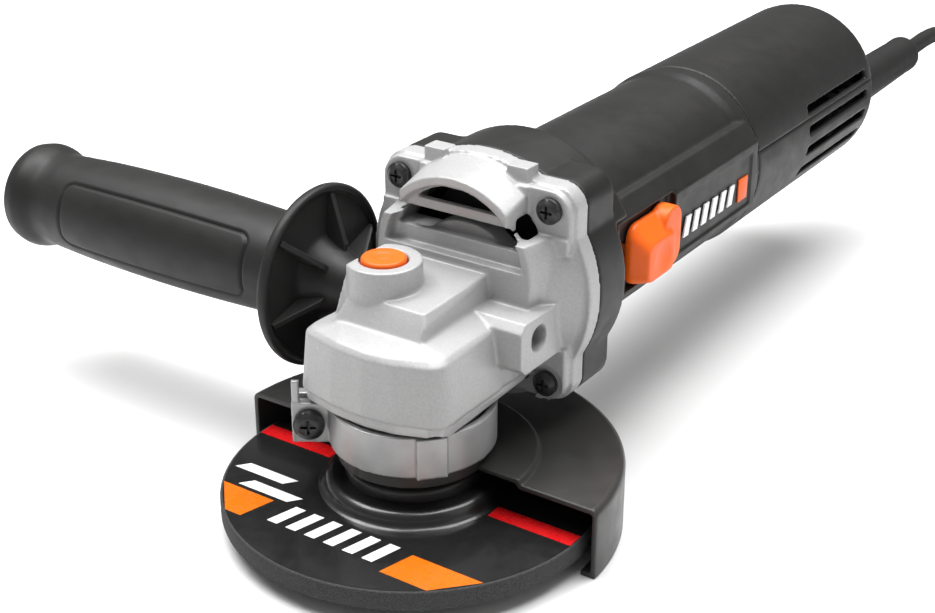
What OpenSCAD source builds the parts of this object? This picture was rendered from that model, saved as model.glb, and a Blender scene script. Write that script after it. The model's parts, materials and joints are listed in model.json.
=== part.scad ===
// Corded 115 mm angle grinder, built as separate pieces.
// Frame: +Z is up along the spindle axis, +Y runs along the motor towards the cord,
// -X is the side handle, and the origin is the free end of the spindle, level with
// the guard's lip, which is the lowest point of the tool.

/* [Grinding disc] */
// Outer diameter of the disc
disc_d = 115; // [100:1:140]
// Thickness of the disc
disc_t = 6; // [3:0.5:8]
// Diameter of the mounting bore
disc_bore = 22.23; // [20:0.01:24]
// Diameter of the flat top of the raised centre
hub_d = 46; // [43:1:60]
// How far the centre stands above the rim
hub_raise = 4.5; // [2:0.5:6]

/* [Guard] */
// Gap between the disc's edge and the lip
lip_gap = 1.8; // [1:0.1:5]
// How far the lip turns inwards
lip_w = 3.2; // [2:0.1:6]
// How far the lip stands below the disc
lip_drop = 5.5; // [4:0.5:12]
// Thickness of the guard's sheet
guard_wall = 1.6; // [1:0.1:3]
// Width of the clamp band
band_h = 12.8; // [10:0.2:14]
// Gap between the guard and its clamp band
band_lift = 3; // [2:0.2:4]
// Direction of the clamp's lugs
lug_angle = 213; // [200:1:230]

/* [Spindle and gears] */
// Thread diameter of the spindle
spindle_d = 14; // [12:1:16]
// Teeth on the crown gear
crown_teeth = 38; // [30:1:44]
// Teeth on the pinion
pinion_teeth = 11; // [9:1:13]
// Mean radius of the crown gear's teeth
crown_r = 17; // [15:0.5:20]
// Width of the crown gear's teeth
face_w = 4; // [2:0.5:5]

/* [Gear head] */
// Half of the head's width at its foot
head_hw = 24; // [22:0.5:30]
// How far the head reaches in front of the spindle axis
head_front = 24.5; // [22:0.5:32]
// How much further the head reaches on the handle's side
handle_side_more = 2.4; // [0:0.2:5]
// Height of the head's lower wall
wall_h = 18; // [15:0.5:24]
// Height of the motor axis above the head's foot
axis_rise = 22; // [20:0.5:28]
// Length of the nose that carries the guard
nose_l = 18; // [16:0.5:22]
// Distance of the side sockets' faces from the spindle axis
socket_x = 31; // [29:0.5:38]
// Y position of the side sockets
socket_y = 19; // [17:0.5:21]
// Y position of the joint between gear head and motor housing
joint_y = 40; // [39:0.5:46]
// Sideways position of the four joint screws
ear_x = 26.3; // [24:0.1:32]
// Vertical position of the joint screws, from the motor axis
ear_z = 27.5; // [25:0.1:32]

/* [Motor housing] */
// Outer diameter of the barrel
barrel_d = 62.8; // [52:0.2:78]
// Y position of the barrel's rear end
barrel_end = 162; // [158:1:195]
// Wall thickness of the barrel
barrel_wall = 2.6; // [2:0.1:3.5]
// Outer diameter of the rear cover
cover_d = 64.8; // [54:0.2:80]
// Length of the rear cover
cover_l = 112; // [93:1:136]
// Wall thickness of the rear cover
cover_wall = 2.5; // [2:0.1:3.5]
// Number of air slots on each side of the rear cover
slot_count = 4; // [2:1:4]
// Length of the air slots
slot_l = 56; // [40:1:60]

/* [Motor] */
// Diameter of the armature core
core_d = 35.8; // [30:0.2:37]
// Length of the armature and stator cores
core_l = 40; // [34:1:42]
// Air gap between armature and stator
air_gap = 0.6; // [0.4:0.1:1]
// Diameter of the commutator
commutator_d = 23; // [20:0.5:25]

/* [Slide switch] */
// Length of the switch knob
knob_l = 27; // [22:1:32]
// Height of the switch knob
knob_w = 21; // [18:0.5:23]
// Travel of the switch
switch_travel = 6; // [5:0.5:7]

/* [Side handle] */
// Length of the grip behind its flange
grip_l = 127; // [105:1:155]
// Largest diameter of the grip
grip_d = 35; // [30:0.5:42]
// Diameter of the hand flange
hand_flange_d = 58; // [48:1:70]
// Diameter of the stud, and of the sockets that it screws into
stud_d = 8; // [8:1:10]

/* [Lock button] */
// Diameter of the button
button_d = 13.7; // [12:0.1:15]
// Travel of the button
button_travel = 5; // [4:0.5:5]

/* [Cord] */
// Diameter of the cord
cord_d = 7; // [6:0.5:8]
// Length of the strain relief outside the cover
sleeve_l = 60; // [40:1:60]

/* [Hidden] */
$fn = 48;
facets = 32;
eps = 0.01;
fit = 0.05;
gap = 0.3;
seat = 0.02;

// Heights along the spindle, from the spindle's free end upwards
disc_z = lip_drop;
hub_z = disc_z + hub_raise;
hub_top = hub_z + disc_t;
clamp_flange_t = 4;
clamp_flange_top = hub_top + clamp_flange_t;
guard_z = clamp_flange_top + 0.9;
guard_top = guard_z + guard_wall;
step_h = 1.5;
band_z = guard_top + step_h + band_lift;
nose_z = guard_top + 0.5;
cover_z = nose_z + nose_l;
plate_t = 3;
head_z = cover_z + plate_t;
rim_z = head_z + wall_h;
motor_z = head_z + axis_rise;
hump_z = rim_z + 11;

// Rings around the spindle
spindle_r = spindle_d / 2;
pilot_r = disc_bore / 2 - fit;
pilot_h = 2.5;
shoulder_r = 8.5;
journal_r = 6;
tip_r = 3.95;
bearing_r = 16;
bearing_h = 10;
bearing_z = cover_z - bearing_h - 2;
nose_r = bearing_r + 5;
neck_r = nose_r + guard_wall + fit;
band_r = neck_r + 2;
lug_screw = 7.3;
guard_r = disc_d / 2 + lip_gap + lip_w;

// Gear mesh: the pinion's pitch line rolls on the crown at its mean radius
pitch = 2 * PI * crown_r / crown_teeth;
pinion_r = pinion_teeth * pitch / (2 * PI);
addendum = 0.24 * pitch;
dedendum = 0.37 * pitch;
crown_in = crown_r - face_w / 2;
crown_out = crown_r + face_w / 2;
tooth_z = motor_z - pinion_r + addendum;
tooth_root_z = motor_z - pinion_r - dedendum;
lock_hole_r = 2.4;
lock_pin_r = 1.95;
lock_x = -9.5;
web_z = tooth_root_z - 1.8;
cavity_r = crown_out + 0.5;
cavity_top = tooth_z + 1;
bush_r = 5.4;
bush_h = 7;
bush_z = cavity_top + 0.2;

// Gear head, from the spindle axis towards the motor
arch_r = 27;
arch_z = motor_z + 8;
arch_y = 20;
plate_y = joint_y - 6;
arch_recess = 3.5;
ear_r = 7.4;
flange_r = barrel_d / 2 + 7.4;
front_bearing_r = 11;
front_bearing_l = 7;
front_bearing_y = 24;
boss_top = hump_z + 8.3;
boss_r = 11.2;
button_top = boss_top + 0.7;
button_h = 5.5;
socket_z = head_z + 15.5;
socket_l = 14;
stud_r = stud_d / 2;

// Motor, from the fan towards the brushes
barrel_r = barrel_d / 2;
barrel_in = barrel_r - barrel_wall;
cover_r = cover_d / 2;
cover_in = cover_r - cover_wall;
fan_y = joint_y + 6;
fan_l = 10;
fan_r = barrel_in - 1.6;
core_y = fan_y + fan_l + 10;
coil_l = 7;
stator_r = barrel_in - 0.2;
stator_in = core_d / 2 + air_gap;
rod_t = 1.6;
rod_x = barrel_in - 0.7 - rod_t;
rod_w = 6;
stator_flat = rod_x - 0.6;
commutator_y = core_y + core_l + 11;
commutator_l = 12;
rear_bearing_r = 9.5;
rear_bearing_l = 6;
rear_bearing_y = commutator_y + commutator_l + 4;
damper_t = 1.1;
holder_l = barrel_in - commutator_d / 2 - 4.3;
brush_l = holder_l - 5;
shaft_r = 4;
brush_y = commutator_y + commutator_l / 2;

// Slide switch, on the +X side of the barrel
pad_x = barrel_r + 1.6;
pad_z = motor_z + 1;
pad_y = joint_y + 18;
knob_y = pad_y + 9;
pocket_x = pad_x - 2.6;
knob_x = pad_x + 5.2;
knob_z = pad_z + 1;
stem_l = knob_l - 5;
panel_y = knob_y + knob_l + 4;
rod_end = barrel_end + 22;

// Rear cover and what is in it
cover_y = barrel_end + 0.15;
cover_end = cover_y + cover_l;
parting_z = motor_z + 7;
slot_h = 3.4;
slot_y = cover_end - 12 - slot_l;
cord_x = 20;
cord_z = motor_z - 1;
cord_r = cord_d / 2;
sleeve_r = cord_r + 4.8;
sleeve_end = cover_end + sleeve_l;
clamp_y = cover_end - 26;

// Side handle
hand_flange_x = socket_x + 16.5;
hand_flange_t = 3;
stud_end = hand_flange_x + 29.5;
grip_r = grip_d / 2;

// Route of the cord: out of the sleeve, down to the bench and along to the coil
cord_path = [
  [0, 0, 65], [0, 15, 65], [0, 30, 65], [0, 44, 63], [1, 56, 57], [1, 66, 47],
  [2, 72, 34], [2, 78, 22], [1.5, 90, 10.5]
];
tail_path = [
  [24, 143, 24.7], [35, 148, 24.7], [47, 149, 24.7], [59, 146, 24.8], [69, 139, 25.3],
  [76, 129, 26.5], [78, 118, 27.6], [78, 112, 28], [78, 107, 28]
];
route_start = [20, 336, 0];
coil_at = [66, 450, 0];
coil_mid_r = 36;
coil_layers = 3;
plug_at = [98, 448, 21];
plug_size = [35, 42, 14];
plug_pin_r = 2.4;
plug_pin_l = 19;
plug_pin_gap = 19;

// ---------- Shared shapes ----------

// Turns a shape drawn along +Z so that it runs along +Y from a point on the motor axis
module along_y(y, x = 0, z = motor_z) {
  translate([x, y, z]) rotate([-90, 0, 0]) children();
}

// Turns a shape drawn along +Z so that it runs along +X from the side sockets' axis
module along_x(x, side = 1) {
  translate([side * x, socket_y, socket_z]) rotate([0, side * 90, 0]) children();
}

module ring(outer, inner, h) {
  difference() {
    cylinder(r = outer, h = h);
    translate([0, 0, -1]) cylinder(r = inner, h = h + 2);
  }
}

module rounded_rect(w, h, r) {
  square([w - 2 * r, h], center = true);
  square([w, h - 2 * r], center = true);
  for (x = [-1, 1], y = [-1, 1]) {
    translate([x * (w / 2 - r), y * (h / 2 - r)]) circle(r);
  }
}

// A cross-head screw: the head sits on z = 0 and the shank runs down from it
module pan_screw(head_r, head_h, shank_r, shank_l) {
  difference() {
    union() {
      cylinder(r = head_r, h = head_h * 0.6);
      translate([0, 0, head_h * 0.6 - eps]) {
        cylinder(r1 = head_r, r2 = head_r * 0.6, h = head_h * 0.4 + eps);
      }
    }
    for (turn = [0, 90]) {
      rotate([0, 0, turn]) {
        translate([-head_r * 0.5, -head_h * 0.14, head_h * 0.45]) {
          cube([head_r, head_h * 0.28, head_h]);
        }
      }
    }
  }
  translate([0, 0, -shank_l]) cylinder(r = shank_r, h = shank_l + eps);
}

module race_outer(outer, bore, w) {
  track = (outer + bore) / 2;
  difference() {
    ring(outer, track + (outer - bore) * 0.14, w);
    translate([0, 0, w / 2]) rotate_extrude() translate([track, 0]) circle((outer - bore) * 0.25);
  }
}

module race_inner(outer, bore, w) {
  track = (outer + bore) / 2;
  difference() {
    ring(track - (outer - bore) * 0.14, bore, w);
    translate([0, 0, w / 2]) rotate_extrude() translate([track, 0]) circle((outer - bore) * 0.25);
  }
}

module balls(outer, bore, w, count) {
  track = (outer + bore) / 2;
  for (i = [0:count - 1]) {
    rotate([0, 0, i * 360 / count]) {
      translate([track, 0, w / 2]) sphere((outer - bore) * 0.25 - 0.12);
    }
  }
}

// ---------- Spindle and disc ----------

module spindle() {
  color("silver") {
    difference() {
      union() {
        cylinder(r = spindle_r, h = clamp_flange_top);
        translate([0, 0, clamp_flange_top - eps]) {
          cylinder(r = shoulder_r, h = bearing_z - clamp_flange_top - 1.5 + eps);
        }
        translate([0, 0, bearing_z - 1.5 - eps]) cylinder(r = 7.4, h = 1.5 + eps);
        translate([0, 0, bearing_z - eps]) {
          cylinder(r = journal_r, h = web_z - bearing_z + 2 * eps);
        }
        translate([0, 0, web_z]) cylinder(r = tip_r, h = bush_z + bush_h - web_z - 0.6);
      }
      translate([0, 0, lip_drop - 0.6]) ring(spindle_r + 1, spindle_r - 0.5, 0.5);
    }
  }
}

module crown_gear() {
  tooth_half = 57 / crown_teeth;
  color("dimgray") {
    difference() {
      union() {
        translate([0, 0, bearing_z + bearing_h]) {
          cylinder(r = 9, h = web_z - bearing_z - bearing_h - 5.5);
        }
        translate([0, 0, web_z - 6]) cylinder(r = crown_out, h = 6);
        translate([0, 0, web_z - eps]) ring(crown_out, crown_in, tooth_root_z - web_z + eps);
        for (i = [0:crown_teeth - 1]) {
          rotate([0, 0, 90 + (i + 0.5) * 360 / crown_teeth]) {
            translate([0, 0, tooth_root_z - 0.2]) {
              linear_extrude(tooth_z - tooth_root_z + 0.2) {
                polygon([
                  [crown_in * cos(tooth_half), -crown_in * sin(tooth_half)],
                  [crown_out * cos(tooth_half) - 0.1, -crown_out * sin(tooth_half)],
                  [crown_out * cos(tooth_half) - 0.1, crown_out * sin(tooth_half)],
                  [crown_in * cos(tooth_half), crown_in * sin(tooth_half)]
                ]);
              }
            }
          }
        }
      }
      translate([0, 0, bearing_z]) cylinder(r = journal_r + seat, h = web_z);
      for (turn = [0:90:270]) {
        rotate([0, 0, turn]) {
          translate([lock_x, 0, web_z - 5.8]) cylinder(r = lock_hole_r, h = 10);
        }
      }
    }
  }
}

module spindle_bearing_inner_race() {
  color("lightgray") {
    translate([0, 0, bearing_z]) race_inner(bearing_r, journal_r + seat, bearing_h);
  }
}

module spindle_bearing_outer_race() {
  color("lightgray") {
    translate([0, 0, bearing_z]) race_outer(bearing_r - seat, journal_r, bearing_h);
  }
}

module spindle_bearing_balls() {
  color("silver") translate([0, 0, bearing_z]) balls(bearing_r, journal_r, bearing_h, 7);
}

module spindle_bush() {
  color("goldenrod") translate([0, 0, bush_z]) ring(bush_r - seat, tip_r + fit, bush_h);
}

module felt_seal() {
  color("ivory") translate([0, 0, nose_z + 1.5]) ring(bearing_r - 1, shoulder_r + gap, 2.5);
}

module inner_flange() {
  color("gray") {
    difference() {
      union() {
        translate([0, 0, hub_top]) cylinder(r = 20.5, h = clamp_flange_t - 1);
        translate([0, 0, clamp_flange_top - 1 - eps]) cylinder(r1 = 20.5, r2 = 19.5, h = 1 + eps);
        translate([0, 0, hub_top - pilot_h]) cylinder(r = pilot_r, h = pilot_h + eps);
      }
      translate([0, 0, -1]) cylinder(r = spindle_r + fit, h = clamp_flange_top + 2);
    }
  }
}

module grinding_disc() {
  r = disc_d / 2;
  flat = hub_d / 2;
  cone = flat + hub_raise;
  color("dimgray") {
    rotate_extrude() {
      polygon([
        [disc_bore / 2, hub_z], [flat - 1, hub_z], [cone - 1, disc_z], [r, disc_z],
        [r, disc_z + disc_t], [cone, disc_z + disc_t], [flat, hub_top], [disc_bore / 2, hub_top]
      ]);
    }
  }
}

module lock_nut() {
  color("dimgray") {
    difference() {
      union() {
        translate([0, 0, hub_z - 4.5]) cylinder(r = 18.5, h = 4.5);
        translate([0, 0, hub_z - eps]) cylinder(r = pilot_r, h = pilot_h + eps);
      }
      translate([0, 0, -1]) cylinder(r = spindle_r + fit, h = hub_top);
      for (turn = [45:90:315]) {
        rotate([0, 0, turn]) translate([14, 0, hub_z - 5]) cylinder(r = 2.4, h = 3.5);
      }
    }
  }
}

// ---------- Gear head ----------

// One corner post of the head's plan, at a share of the half width
module plan_post(share, hw, front, z, h) {
  corner = share < 0 ? 5 : 7;
  reach = share < 0 ? hw + handle_side_more : hw;
  sag = share < 0 ? 3.4 : 4;
  translate([share * (reach - corner), corner - front + sag * share * share, z]) {
    cylinder(r = corner, h = h, $fn = facets);
  }
}

module head_body() {
  hull() {
    for (share = [-1, -0.5, 0, 0.5, 1]) {
      plan_post(share, head_hw, head_front, head_z, 1);
      plan_post(share, head_hw - 1.6, head_front - 0.6, rim_z - 1, 1);
      plan_post(share, head_hw - 3.2, head_front - 2, rim_z, 1.6);
    }
    translate([1 - head_hw, 0, head_z]) cube([2 * head_hw - 2, plate_y + 1, 1]);
    translate([4 - head_hw, 0, rim_z]) cube([2 * head_hw - 8, plate_y + 1, 1.6]);
    translate([-14, 10.5 - head_front, rim_z + 3.3]) cube([27.5, plate_y + head_front - 10, 1]);
  }
  hull() {
    translate([-16.5, 10.2 - head_front, rim_z + 3]) cube([29.8, plate_y + head_front - 10, 1.3]);
    translate([-15.5, 12.7 - head_front, hump_z - 4]) cube([28.7, 1, 1]);
    translate([-13.5, 14.9 - head_front, hump_z - 1]) cube([25, 1, 1]);
    translate([-16, plate_y - 1, hump_z + 1]) cube([28, 1, 1]);
  }
}

// The raised round seat of the lock button, cut flat on the handle side
module button_boss() {
  cut_x = lock_x - 6.5;
  difference() {
    translate([lock_x, 0, rim_z]) cylinder(r = boss_r, h = boss_top - rim_z);
    translate([cut_x - 20, -20, rim_z - 1]) cube([20, 40, boss_top]);
  }
  hull() {
    translate([cut_x, -8, boss_top - 1]) cube([8, 16, 1]);
    translate([3 - head_hw, -10, rim_z - 1]) cube([16, 20, 1]);
  }
}

// The plate that meets the motor housing: a round plate with four square-set screw ears
module joint_outline() {
  circle(flange_r);
  rounded_rect(2 * (ear_x + ear_r), 2 * (ear_z + ear_r) - 1.6, ear_r);
}

// The corners of the plate's outline, which reach further forwards than the plate
module ear_corners() {
  intersection() {
    rounded_rect(2 * (ear_x + ear_r) - 1.6, 2 * (ear_z + ear_r) - 3.2, ear_r);
    for (x = [-1, 1], z = [-1, 1]) translate([x * 28, z * 29]) square([26, 28], center = true);
  }
}

// The side sockets' square bosses, faired into the joint plate
module socket_boss(side) {
  front = socket_y - 9.5;
  low = socket_z - 9;
  high = socket_z + 7;
  chamfer = 2.5;
  scale([side, 1, 1]) {
    translate([10, 0, 0]) rotate([90, 0, 90]) {
      linear_extrude(socket_x - 10) {
        polygon([
          [front + chamfer, low], [plate_y, low], [plate_y, high], [front + chamfer, high],
          [front, high - chamfer], [front, low + chamfer]
        ]);
      }
    }
  }
}

module gear_housing() {
  color("gainsboro") {
    difference() {
      union() {
        head_body();
        button_boss();
        along_y(arch_y, 0, arch_z) cylinder(r1 = arch_r, r2 = arch_r + 3, h = plate_y - arch_y);
        along_y(arch_y + 2) cylinder(r1 = head_hw, r2 = flange_r - 2, h = plate_y - arch_y - 2);
        along_y(plate_y) linear_extrude(joint_y - plate_y) joint_outline();
        along_y(plate_y - 3.5) linear_extrude(4) ear_corners();
        for (side = [-1, 1]) {
          translate([side * 14.5 - 3.5, plate_y - 2, motor_z + flange_r - 9]) cube([7, 6, 8.2]);
        }
        socket_boss(1);
        socket_boss(-1);
      }
      // gear chamber, pinion tunnel and bearing seats
      translate([0, 0, head_z - 1]) cylinder(r = cavity_r, h = cavity_top - head_z + 1);
      translate([0, 0, cavity_top - 1]) cylinder(r = bush_r, h = bush_z + bush_h - cavity_top + 1);
      along_y(12) cylinder(r = pinion_r + 1.4, h = joint_y);
      along_y(front_bearing_y) cylinder(r = front_bearing_r, h = joint_y);
      along_y(front_bearing_y + front_bearing_l) cylinder(r = 17, h = joint_y);
      // room below for the bearing cover
      translate([-50, -50, 0]) cube([100, 50 + plate_y - 7, head_z]);
      translate([1 - head_hw, -50, 0]) cube([2 * head_hw - 2, 50 + plate_y - 2 + fit, head_z]);
      // lock button, spring and pin
      translate([lock_x, 0, button_top - button_h - button_travel - 0.2]) {
        cylinder(r = button_d / 2 + 0.35, h = 20);
      }
      translate([lock_x, 0, bush_z + 2]) cylinder(r = 3.2, h = 20);
      translate([lock_x, 0, cavity_top - 1]) cylinder(r = lock_pin_r + fit, h = 20);
      // air way: a recess in the arch's front, two slots in its floor and a chamber behind
      intersection() {
        along_y(arch_y - 1, 0, arch_z) {
          cylinder(r1 = arch_r - 2.4, r2 = arch_r - 3.4, h = arch_recess + 1);
        }
        translate([-40, 0, hump_z + 4]) cube([80, 60, 40]);
      }
      intersection() {
        along_y(arch_y + arch_recess + 2, 0, arch_z) cylinder(r = arch_r - 2, h = 40);
        translate([-40, 0, arch_z + 6]) cube([80, 60, 40]);
        difference() {
          translate([-40, 0, 0]) cube([80, 60, 140]);
          along_y(0) cylinder(r = 19.5, h = plate_y);
        }
      }
      for (band = [[8, 14.5], [17.5, 22.5]]) {
        intersection() {
          along_y(arch_y - 1, 0, arch_z) cylinder(r = arch_r - 4, h = arch_recess + 5);
          translate([-30, 0, arch_z + band[0]]) cube([60, 40, band[1] - band[0]]);
        }
      }
      along_y(plate_y + 2) cylinder(r = barrel_in, h = 10);
      // side sockets
      for (side = [-1, 1]) along_x(socket_x - socket_l, side) cylinder(r = stud_r, h = 30);
      // joint screws and cover screws
      for (x = [-1, 1], z = [-1, 1]) {
        along_y(0, x * ear_x, motor_z + z * ear_z) cylinder(r = 2.1, h = 60);
        along_y(plate_y - 22.5, x * ear_x, motor_z + z * ear_z) cylinder(r = 5.6, h = 20);
      }
      for (x = [-1, 1]) {
        along_y(plate_y - 22.5, x * (ear_x + 4), motor_z + ear_z + 4) {
          linear_extrude(20) rounded_rect(23, 24, 3);
        }
      }
      for (at = cover_screw_at) translate([at[0], at[1], head_z - 1]) cylinder(r = 1.55, h = 10);
    }
  }
}

cover_screw_at = [[-19, -16], [19, -16], [-19.5, 27], [19.5, 27]];

module bearing_cover() {
  color("silver") {
    difference() {
      union() {
        translate([0, 0, nose_z]) cylinder(r = nose_r, h = nose_l + 1);
        hull() {
          for (share = [-1, -0.5, 0, 0.5, 1]) {
            plan_post(share, head_hw - 0.8, head_front - 0.8, cover_z, plate_t);
          }
          translate([2 - head_hw, 0, cover_z]) cube([2 * head_hw - 4, plate_y - 2, plate_t]);
        }
      }
      translate([0, 0, -1]) cylinder(r = shoulder_r + gap, h = head_z);
      translate([0, 0, nose_z + 1.5]) cylinder(r = bearing_r - 1 + seat, h = 30);
      translate([0, 0, bearing_z]) cylinder(r = bearing_r, h = 30);
      for (at = cover_screw_at) {
        translate([at[0], at[1], cover_z - 1]) cylinder(r = 1.7, h = 10);
        translate([at[0], at[1], cover_z - eps]) cylinder(r1 = 3.2, r2 = 1.7, h = 1.6);
      }
    }
  }
}

module bearing_cover_screws() {
  color("dimgray") {
    for (at = cover_screw_at) {
      translate([at[0], at[1], cover_z]) {
        cylinder(r1 = 3.1, r2 = 1.5, h = 1.6);
        cylinder(r = 1.5, h = 10);
      }
    }
  }
}

module lock_button() {
  color("darkorange") {
    difference() {
      translate([lock_x, 0, button_top - button_h]) {
        cylinder(r = button_d / 2, h = button_h - 0.8);
        translate([0, 0, button_h - 0.8 - eps]) {
          cylinder(r1 = button_d / 2, r2 = button_d / 2 - 0.8, h = 0.8 + eps);
        }
      }
      translate([lock_x, 0, button_top - 0.6]) cylinder(r1 = 1.4, r2 = 1.8, h = 1);
      translate([lock_x, 0, 0]) cylinder(r = lock_pin_r + seat, h = button_top - 2.5);
    }
  }
}

module lock_pin() {
  tip_z = web_z + 0.8;
  color("silver") {
    translate([lock_x, 0, tip_z]) cylinder(r = lock_pin_r, h = button_top - 2.5 - tip_z);
  }
}

module lock_spring() {
  low = bush_z + 2;
  high = button_top - button_h;
  turns = 4;
  color("lightgray") {
    for (i = [0:turns]) {
      translate([lock_x, 0, low + 0.3 + i * (high - low - 0.6) / turns]) {
        rotate_extrude() translate([2.75, 0]) circle(0.28);
      }
    }
  }
}

// ---------- Guard ----------

module guard() {
  bend = 2;
  in_r = guard_r - guard_wall;
  step_r = 36;
  color([0.2, 0.2, 0.21]) {
    rotate_extrude(angle = 180) {
      polygon(concat(
        [
          [nose_r + fit, guard_top + step_h], [step_r, guard_top + step_h],
          [step_r + step_h, guard_top], [guard_r - bend, guard_top]
        ],
        [for (a = [80:-10:10]) [guard_r - bend + bend * cos(a), guard_top - bend + bend * sin(a)]],
        [
          [guard_r, guard_top - bend], [guard_r, 0.5], [guard_r - 0.5, 0], [in_r - lip_w, 0],
          [in_r - lip_w, guard_wall], [in_r - 0.5, guard_wall], [in_r, guard_wall + 0.5],
          [in_r, guard_z - 0.6], [in_r - 0.6, guard_z], [step_r + step_h - 0.7, guard_z],
          [step_r - 0.7, guard_z + step_h], [nose_r + fit, guard_z + step_h]
        ]
      ));
    }
    translate([0, 0, guard_z + step_h]) ring(neck_r, nose_r + fit, band_lift + band_h);
  }
}

module guard_clamp_band() {
  color("silver") {
    translate([0, 0, band_z]) rotate([0, 0, lug_angle]) {
      difference() {
        union() {
          linear_extrude(band_h) {
            difference() {
              union() {
                circle(band_r);
                translate([neck_r, -5]) square([12.4, 10]);
                rotate(105) translate([neck_r, -4.5]) square([3.1, 9]);
              }
              circle(neck_r + seat);
              translate([0, -1.5]) square([60, 3]);
            }
          }
          translate([neck_r + 10, 3.4, band_h - 1]) cube([2.2, 1.4, 8]);
        }
        translate([neck_r + lug_screw, -20, band_h / 2]) rotate([-90, 0, 0]) cylinder(r = 2.6, h = 60);
      }
    }
  }
}

module guard_clamp_screw() {
  color([0.13, 0.13, 0.13]) {
    rotate([0, 0, lug_angle]) {
      translate([neck_r + lug_screw, 5 + fit, band_z + band_h / 2]) rotate([-90, 0, 0]) {
        pan_screw(4.6, 3, 2.5, 15);
      }
    }
  }
}

module guard_clamp_nut() {
  color("gray") {
    rotate([0, 0, lug_angle]) {
      translate([neck_r + lug_screw, -9.1, band_z + band_h / 2]) rotate([-90, 0, 0]) {
        difference() {
          cylinder(r = 4.6, h = 4, $fn = 6);
          translate([0, 0, -1]) cylinder(r = 2.5 + fit, h = 6, $fn = 48);
        }
      }
    }
  }
}

// ---------- Motor ----------

module pinion() {
  length = face_w + 1.6;
  tip = pinion_r + addendum;
  root = pinion_r - dedendum;
  color("dimgray") {
    along_y(crown_r - length / 2) {
      linear_extrude(length) {
        difference() {
          union() {
            circle(root);
            for (i = [0:pinion_teeth - 1]) {
              rotate(90 + i * 360 / pinion_teeth) {
                polygon([
                  [root - 0.5, -0.23 * pitch], [tip, -0.1 * pitch],
                  [tip, 0.1 * pitch], [root - 0.5, 0.23 * pitch]
                ]);
              }
            }
          }
          circle(2.5 + seat);
        }
      }
    }
  }
}

module armature_shaft() {
  shaft_end = rear_bearing_y + rear_bearing_l;
  color("silver") {
    along_y(crown_r - face_w / 2 - 2) cylinder(r = 2.5, h = 9);
    along_y(crown_r + face_w / 2 + 1.2) cylinder(r = 3.9, h = shaft_end - crown_r - face_w / 2 - 8);
    along_y(shaft_end - 8) cylinder(r = 3.45, h = 8);
  }
}

module front_bearing_inner_race() {
  color("lightgray") {
    along_y(front_bearing_y) race_inner(front_bearing_r, shaft_r - 0.08, front_bearing_l);
  }
}

module front_bearing_outer_race() {
  color("lightgray") {
    along_y(front_bearing_y) race_outer(front_bearing_r - seat, shaft_r, front_bearing_l);
  }
}

module front_bearing_balls() {
  color("silver") along_y(front_bearing_y) balls(front_bearing_r, shaft_r, front_bearing_l, 7);
}

module bearing_retainer() {
  y = front_bearing_y + front_bearing_l;
  color("gray") {
    along_y(y + seat) {
      ring(17 - fit, 6, 2);
    }
  }
}

module armature_core() {
  slots = 12;
  color("dimgray") {
    along_y(core_y) {
      difference() {
        cylinder(r = core_d / 2, h = core_l);
        translate([0, 0, -1]) cylinder(r = 3.9 + seat, h = core_l + 2);
        for (i = [0:slots - 1]) {
          rotate([0, 0, (i + 0.5) * 360 / slots]) {
            translate([core_d / 2 - 1.5, -1, -1]) cube([3, 2, core_l + 2]);
            translate([core_d / 2 - 4.4, 0, -1]) cylinder(r = 2.3, h = core_l + 2);
          }
        }
      }
    }
  }
}

module armature_windings() {
  color("chocolate") {
    for (y = [core_y - coil_l + 1, core_y + core_l + seat]) {
      along_y(y) {
        difference() {
          union() {
            cylinder(r = core_d / 2 - 3, h = coil_l - 1 - seat);
            translate([0, 0, 1.5]) cylinder(r = core_d / 2 - 1.2, h = coil_l - 4);
          }
          translate([0, 0, -1]) cylinder(r = 3.9 + seat, h = coil_l + 2);
        }
      }
    }
  }
}

module commutator() {
  bars = 24;
  color("peru") {
    along_y(commutator_y) {
      difference() {
        union() {
          cylinder(r = commutator_d / 2, h = commutator_l);
          translate([0, 0, -2.5]) cylinder(r = commutator_d / 2 + 1.2, h = 2.5);
        }
        translate([0, 0, -4]) cylinder(r = 3.9 + seat, h = commutator_l + 8);
        for (i = [0:bars - 1]) {
          rotate([0, 0, i * 360 / bars]) {
            translate([commutator_d / 2 - 0.8, -0.2, -4]) cube([4, 0.4, commutator_l + 8]);
          }
        }
      }
    }
  }
}

module fan() {
  blades = 18;
  color([0.15, 0.15, 0.15]) {
    along_y(fan_y) {
      difference() {
        cylinder(r = fan_r, h = 2);
        translate([0, 0, -1]) cylinder(r = 3.9 + seat, h = 10);
      }
      translate([0, 0, 2 - eps]) ring(8, 3.9 + seat, fan_l - 2);
      for (i = [0:blades - 1]) {
        rotate([0, 0, i * 360 / blades]) {
          translate([fan_r - 12, -0.6, 2 - eps]) cube([11.8, 1.2, fan_l - 2]);
        }
      }
    }
  }
}

module rear_bearing_inner_race() {
  color("lightgray") {
    along_y(rear_bearing_y) race_inner(rear_bearing_r, 3.5 - fit + seat, rear_bearing_l);
  }
}

module rear_bearing_outer_race() {
  color("lightgray") {
    along_y(rear_bearing_y) race_outer(rear_bearing_r - seat, 3.5, rear_bearing_l);
  }
}

module rear_bearing_balls() {
  color("silver") along_y(rear_bearing_y) balls(rear_bearing_r, 3.5, rear_bearing_l, 7);
}

module rear_bearing_damper() {
  color("black") {
    along_y(rear_bearing_y) ring(rear_bearing_r + damper_t, rear_bearing_r, rear_bearing_l);
  }
}

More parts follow.
